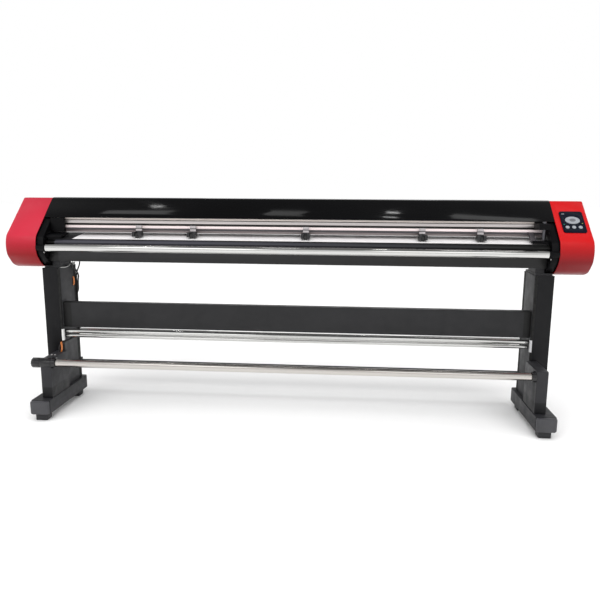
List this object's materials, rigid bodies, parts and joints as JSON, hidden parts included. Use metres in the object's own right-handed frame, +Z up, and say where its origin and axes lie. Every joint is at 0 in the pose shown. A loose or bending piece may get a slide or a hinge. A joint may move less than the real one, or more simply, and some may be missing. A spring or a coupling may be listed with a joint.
{
  "type": "vinyl cutter",
  "caption": "Wide roll-fed vinyl cutter: long head with end covers, hood, media rails and pinch rollers, on a stand with guide rods and a motor-driven take-up tube.",
  "frame": {"origin": "on the floor at the middle of the bounding box", "axes": "+X to the operator's right along the head, +Y to the back, +Z up; the operator stands at -Y"},
  "size_m": [2.45, 0.444, 0.931],
  "materials": {
    "red_shell": "satin",
    "black_gloss": "gloss",
    "side_plate": "satin",
    "stand_paint": "satin",
    "black_plastic": "matte",
    "grey_plastic": "matte",
    "chrome": "polished",
    "steel": "satin",
    "rail": "satin",
    "platen_paint": "satin",
    "apron_paint": "satin",
    "rubber": "matte",
    "panel": "gloss",
    "silver_keys": "satin",
    "motor": "matte",
    "circuit": "matte"
  },
  "bodies": {
    "machine": {"left_end_cover": "red_shell", "right_end_cover": "red_shell", "left_side_plate": "side_plate", "right_side_plate": "side_plate", "hood": "black_gloss", "rear_cover": "apron_paint", "front_apron": "apron_paint", "platen": "platen_paint", "rail_beam": "rail", "linear_rail": "steel", "feed_motor": "motor", "drive_belt": "rubber", "carriage_motor": "motor", "control_panel": "panel", "control_board": "circuit", "power_inlet": "black_plastic", "left_column": "stand_paint", "right_column": "stand_paint", "left_foot_beam": "stand_paint", "right_foot_beam": "stand_paint", "foot_cap_left": "grey_plastic", "foot_cap_right": "grey_plastic", "left_lower_box": "stand_paint", "right_lower_box": "stand_paint", "cross_beam": "stand_paint", "take_up_motor": "stand_paint", "take_up_lead": "rubber"},
    "head_tube_body": {"head_tube": "chrome"},
    "grit_roller_body": {"grit_roller": "steel"},
    "feed_pinion_body": {"feed_pinion": "steel"},
    "lift_lever_body": {"lift_lever": "steel"},
    "pinch_arm_1_body": {"pinch_arm_1": "black_plastic"},
    "pinch_arm_2_body": {"pinch_arm_2": "black_plastic"},
    "pinch_arm_3_body": {"pinch_arm_3": "black_plastic"},
    "pinch_arm_4_body": {"pinch_arm_4": "black_plastic"},
    "pinch_arm_5_body": {"pinch_arm_5": "black_plastic"},
    "pinch_wheel_1_body": {"pinch_wheel_1": "rubber"},
    "pinch_wheel_2_body": {"pinch_wheel_2": "rubber"},
    "pinch_wheel_3_body": {"pinch_wheel_3": "rubber"},
    "pinch_wheel_4_body": {"pinch_wheel_4": "rubber"},
    "pinch_wheel_5_body": {"pinch_wheel_5": "rubber"},
    "carriage_body": {"carriage": "black_plastic"},
    "blade_body": {"blade_holder": "steel"},
    "drive_pulley_body": {"drive_pulley": "steel"},
    "idler_pulley_body": {"idler_pulley": "steel"},
    "navigation_pad_body": {"navigation_pad": "silver_keys"},
    "panel_button_left_body": {"panel_button_left": "silver_keys"},
    "panel_button_middle_body": {"panel_button_middle": "silver_keys"},
    "panel_button_right_body": {"panel_button_right": "silver_keys"},
    "power_switch_body": {"power_switch": "black_plastic"},
    "guide_rod_upper_body": {"guide_rod_upper": "chrome"},
    "guide_rod_lower_body": {"guide_rod_lower": "chrome"},
    "rear_upper_roller_body": {"rear_upper_roller": "chrome"},
    "rear_lower_roller_body": {"rear_lower_roller": "stand_paint"},
    "take_up_body": {"take_up_tube": "chrome", "take_up_knob": "black_plastic"},
    "levelling_foot_front_left_body": {"levelling_foot_front_left": "black_plastic"},
    "levelling_foot_front_right_body": {"levelling_foot_front_right": "black_plastic"},
    "levelling_foot_rear_left_body": {"levelling_foot_rear_left": "black_plastic"},
    "levelling_foot_rear_right_body": {"levelling_foot_rear_right": "black_plastic"}
  },
  "joints": [
    {"name": "head_tube_spin", "type": "hinge", "parent": "machine", "child": "head_tube_body", "pos_m": [0, -0.048, 0.7185], "axis": [1, 0, 0], "continuous": true},
    {"name": "grit_roller_spin", "type": "hinge", "parent": "machine", "child": "grit_roller_body", "pos_m": [0, 0.012, 0.7507], "axis": [1, 0, 0], "continuous": true},
    {"name": "feed_pinion_spin", "type": "hinge", "parent": "machine", "child": "feed_pinion_body", "pos_m": [-1.106, 0.0394, 0.7507], "axis": [1, 0, 0], "continuous": true},
    {"name": "lift_lever_turn", "type": "hinge", "parent": "machine", "child": "lift_lever_body", "pos_m": [0.998, 0.047, 0.7955], "axis": [-1, 0, 0], "range_deg": [0, 40]},
    {"name": "pinch_lift_1", "type": "hinge", "parent": "machine", "child": "pinch_arm_1_body", "pos_m": [-0.667, 0.047, 0.7955], "axis": [-1, 0, 0], "range_deg": [0, 10]},
    {"name": "pinch_lift_2", "type": "hinge", "parent": "machine", "child": "pinch_arm_2_body", "pos_m": [-0.427, 0.047, 0.7955], "axis": [-1, 0, 0], "range_deg": [0, 10]},
    {"name": "pinch_lift_3", "type": "hinge", "parent": "machine", "child": "pinch_arm_3_body", "pos_m": [0.063, 0.047, 0.7955], "axis": [-1, 0, 0], "range_deg": [0, 10]},
    {"name": "pinch_lift_4", "type": "hinge", "parent": "machine", "child": "pinch_arm_4_body", "pos_m": [0.553, 0.047, 0.7955], "axis": [-1, 0, 0], "range_deg": [0, 10]},
    {"name": "pinch_lift_5", "type": "hinge", "parent": "machine", "child": "pinch_arm_5_body", "pos_m": [0.793, 0.047, 0.7955], "axis": [-1, 0, 0], "range_deg": [0, 10]},
    {"name": "pinch_wheel_spin_1", "type": "hinge", "parent": "pinch_arm_1_body", "child": "pinch_wheel_1_body", "pos_m": [-0.667, 0.012, 0.771], "axis": [1, 0, 0], "continuous": true},
    {"name": "pinch_wheel_spin_2", "type": "hinge", "parent": "pinch_arm_2_body", "child": "pinch_wheel_2_body", "pos_m": [-0.427, 0.012, 0.771], "axis": [1, 0, 0], "continuous": true},
    {"name": "pinch_wheel_spin_3", "type": "hinge", "parent": "pinch_arm_3_body", "child": "pinch_wheel_3_body", "pos_m": [0.063, 0.012, 0.771], "axis": [1, 0, 0], "continuous": true},
    {"name": "pinch_wheel_spin_4", "type": "hinge", "parent": "pinch_arm_4_body", "child": "pinch_wheel_4_body", "pos_m": [0.553, 0.012, 0.771], "axis": [1, 0, 0], "continuous": true},
    {"name": "pinch_wheel_spin_5", "type": "hinge", "parent": "pinch_arm_5_body", "child": "pinch_wheel_5_body", "pos_m": [0.793, 0.012, 0.771], "axis": [1, 0, 0], "continuous": true},
    {"name": "carriage_slide", "type": "slide", "parent": "machine", "child": "carriage_body", "axis": [-1, 0, 0], "range_m": [0, 2]},
    {"name": "blade_drop", "type": "slide", "parent": "carriage_body", "child": "blade_body", "axis": [0, 0, -1], "range_m": [0, 0.003], "stiffness_N_per_m": 500, "springref_m": -0.002},
    {"name": "drive_pulley_spin", "type": "hinge", "parent": "machine", "child": "drive_pulley_body", "pos_m": [1.04, 0.0885, 0.8715], "axis": [0, 1, 0], "continuous": true},
    {"name": "idler_pulley_spin", "type": "hinge", "parent": "machine", "child": "idler_pulley_body", "pos_m": [-1.04, 0.0885, 0.8715], "axis": [0, 1, 0], "continuous": true},
    {"name": "navigation_pad_press", "type": "slide", "parent": "machine", "child": "navigation_pad_body", "axis": [0, 0.6803, -0.7329], "range_m": [0, 0.001], "stiffness_N_per_m": 600, "springref_m": -0.001},
    {"name": "panel_button_left_press", "type": "slide", "parent": "machine", "child": "panel_button_left_body", "axis": [0, 0.6803, -0.7329], "range_m": [0, 0.001], "stiffness_N_per_m": 300, "springref_m": -0.001},
    {"name": "panel_button_middle_press", "type": "slide", "parent": "machine", "child": "panel_button_middle_body", "axis": [0, 0.6803, -0.7329], "range_m": [0, 0.001], "stiffness_N_per_m": 300, "springref_m": -0.001},
    {"name": "panel_button_right_press", "type": "slide", "parent": "machine", "child": "panel_button_right_body", "axis": [0, 0.6803, -0.7329], "range_m": [0, 0.001], "stiffness_N_per_m": 300, "springref_m": -0.001},
    {"name": "power_switch_rock", "type": "hinge", "parent": "machine", "child": "power_switch_body", "pos_m": [-1.175, 0.1835, 0.6775], "axis": [-1, 0, 0], "range_deg": [0, 24]},
    {"name": "guide_rod_upper_spin", "type": "hinge", "parent": "machine", "child": "guide_rod_upper_body", "pos_m": [0, 0.012, 0.3395], "axis": [1, 0, 0], "continuous": true},
    {"name": "guide_rod_lower_spin", "type": "hinge", "parent": "machine", "child": "guide_rod_lower_body", "pos_m": [0, 0.012, 0.319], "axis": [1, 0, 0], "continuous": true},
    {"name": "rear_upper_roller_spin", "type": "hinge", "parent": "machine", "child": "rear_upper_roller_body", "pos_m": [0, 0.2, 0.2955], "axis": [1, 0, 0], "continuous": true},
    {"name": "rear_lower_roller_spin", "type": "hinge", "parent": "machine", "child": "rear_lower_roller_body", "pos_m": [0, 0.2, 0.1405], "axis": [1, 0, 0], "continuous": true},
    {"name": "take_up_spin", "type": "hinge", "parent": "machine", "child": "take_up_body", "pos_m": [0, -0.15, 0.2375], "axis": [1, 0, 0], "continuous": true},
    {"name": "levelling_foot_front_left_turn", "type": "hinge", "parent": "machine", "child": "levelling_foot_front_left_body", "pos_m": [-1.038, -0.1825, 0], "axis": [0, 0, 1], "continuous": true},
    {"name": "levelling_foot_front_right_turn", "type": "hinge", "parent": "machine", "child": "levelling_foot_front_right_body", "pos_m": [1.038, -0.1825, 0], "axis": [0, 0, 1], "continuous": true},
    {"name": "levelling_foot_rear_left_turn", "type": "hinge", "parent": "machine", "child": "levelling_foot_rear_left_body", "pos_m": [-1.038, 0.1275, 0], "axis": [0, 0, 1], "continuous": true},
    {"name": "levelling_foot_rear_right_turn", "type": "hinge", "parent": "machine", "child": "levelling_foot_rear_right_body", "pos_m": [1.038, 0.1275, 0], "axis": [0, 0, 1], "continuous": true}
  ],
  "couplings": [
    {"joint": "feed_pinion_spin", "follows": "grit_roller_spin", "ratio": -2},
    {"joint": "pinch_lift_1", "follows": "lift_lever_turn", "ratio": 0.25},
    {"joint": "pinch_lift_2", "follows": "lift_lever_turn", "ratio": 0.25},
    {"joint": "pinch_lift_3", "follows": "lift_lever_turn", "ratio": 0.25},
    {"joint": "pinch_lift_4", "follows": "lift_lever_turn", "ratio": 0.25},
    {"joint": "pinch_lift_5", "follows": "lift_lever_turn", "ratio": 0.25},
    {"joint": "drive_pulley_spin", "follows": "carriage_slide", "rad_per_m": 81.3},
    {"joint": "idler_pulley_spin", "follows": "carriage_slide", "rad_per_m": 81.3}
  ]
}
